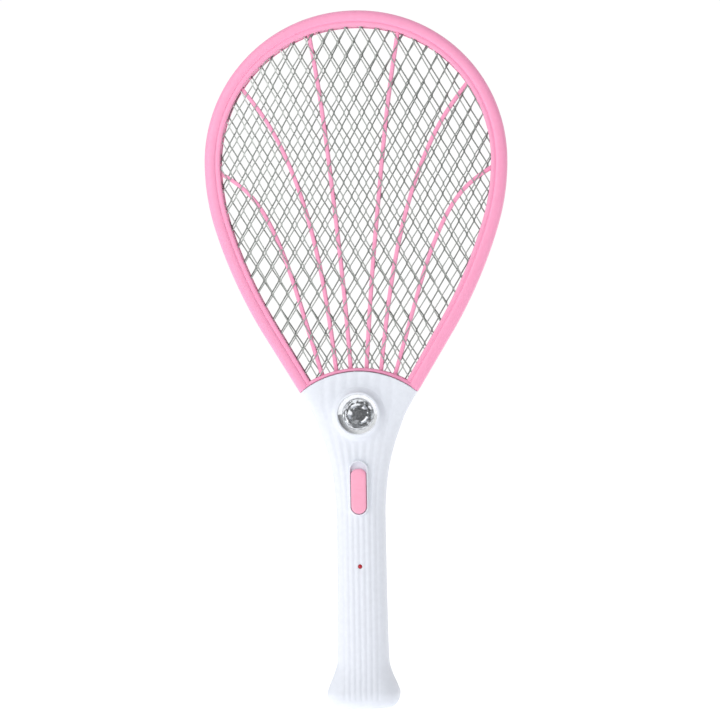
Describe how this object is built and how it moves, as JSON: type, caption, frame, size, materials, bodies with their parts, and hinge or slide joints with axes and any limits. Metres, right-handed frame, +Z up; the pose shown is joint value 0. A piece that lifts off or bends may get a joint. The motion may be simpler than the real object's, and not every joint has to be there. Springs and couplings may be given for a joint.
{
  "type": "electric fly swatter",
  "caption": "Racket-shaped electric fly swatter: pink rim with stacked wire meshes on a white handle with torch, slide switch and retractable plug.",
  "frame": {"origin": "centre of the flat pommel base", "axes": "+Z up the handle to the head, front face towards -Y, +X to the right seen from the front"},
  "size_m": [0.2182, 0.0392, 0.5],
  "materials": {
    "pink_plastic": "smooth moulded pink plastic",
    "mesh_steel": "bright expanded steel",
    "screw_steel": "zinc plated",
    "white_plastic": "moulded white plastic, satin",
    "cap_plastic": "smooth pink plastic",
    "sled_plastic": "plain moulding",
    "clear_lens": "clear, polished",
    "reflector_chrome": "vacuum metallised",
    "lamp_epoxy": "clear epoxy with yellow phosphor",
    "red_epoxy": "diffused red epoxy",
    "circuit_board": "green solder mask",
    "switch_black": "moulded black",
    "plated_steel": "tin plated",
    "blade_brass": "nickel washed brass",
    "ferrite": "sintered ferrite",
    "bobbin_plastic": "moulded black",
    "coil_copper": "enamelled copper",
    "film_yellow": "epoxy boxed",
    "film_red": "dipped epoxy",
    "diode_black": "moulded epoxy",
    "resistor_body": "lacquered",
    "battery_case": "moulded grey case",
    "foam": "foam tape",
    "wire_red": "PVC insulation",
    "wire_black": "PVC insulation"
  },
  "bodies": {
    "root": {"rim_front": "pink_plastic", "rim_rear": "pink_plastic", "rim_screws": "screw_steel", "mesh_front": "mesh_steel", "mesh_centre": "mesh_steel", "mesh_rear": "mesh_steel", "rib_spacer_front": "pink_plastic", "rib_spacer_rear": "pink_plastic", "handle_front": "white_plastic", "handle_rear": "white_plastic", "handle_screws": "screw_steel", "base_plate": "white_plastic", "torch_lens": "clear_lens", "torch_reflector": "reflector_chrome", "torch_lamp": "lamp_epoxy", "torch_board": "circuit_board", "torch_lead_red": "wire_red", "torch_lead_black": "wire_black", "switch_base": "switch_black", "switch_cover": "plated_steel", "main_board": "circuit_board", "board_screws": "screw_steel", "indicator_led": "red_epoxy", "transformer_core": "ferrite", "transformer_bobbin": "bobbin_plastic", "transformer_coil": "coil_copper", "storage_capacitor": "film_yellow", "multiplier_capacitors": "film_red", "multiplier_diodes": "diode_black", "board_resistors": "resistor_body", "drive_transistor": "diode_black", "mesh_lead_centre": "wire_red", "mesh_lead_front": "wire_black", "mesh_lead_rear": "wire_black", "battery": "battery_case", "battery_pad": "foam", "battery_lead_red": "wire_red", "battery_lead_black": "wire_black", "charger_board": "circuit_board", "dropper_capacitor": "film_yellow", "rectifier_diodes": "diode_black", "plug_contact_left": "blade_brass", "plug_contact_right": "blade_brass"},
    "switch_slider": {"switch_cap": "cap_plastic", "switch_lever": "switch_black"},
    "plug": {"plug_carriage": "sled_plastic", "plug_blade_left": "blade_brass", "plug_blade_right": "blade_brass", "plug_thumb_slider": "white_plastic"}
  },
  "joints": [
    {"name": "switch_slide", "type": "slide", "parent": "root", "child": "switch_slider", "axis": [0, 0, 1], "range_m": [0, 0.004]},
    {"name": "plug_slide", "type": "slide", "parent": "root", "child": "plug", "axis": [0, 0, -1], "range_m": [0, 0.017]}
  ]
}
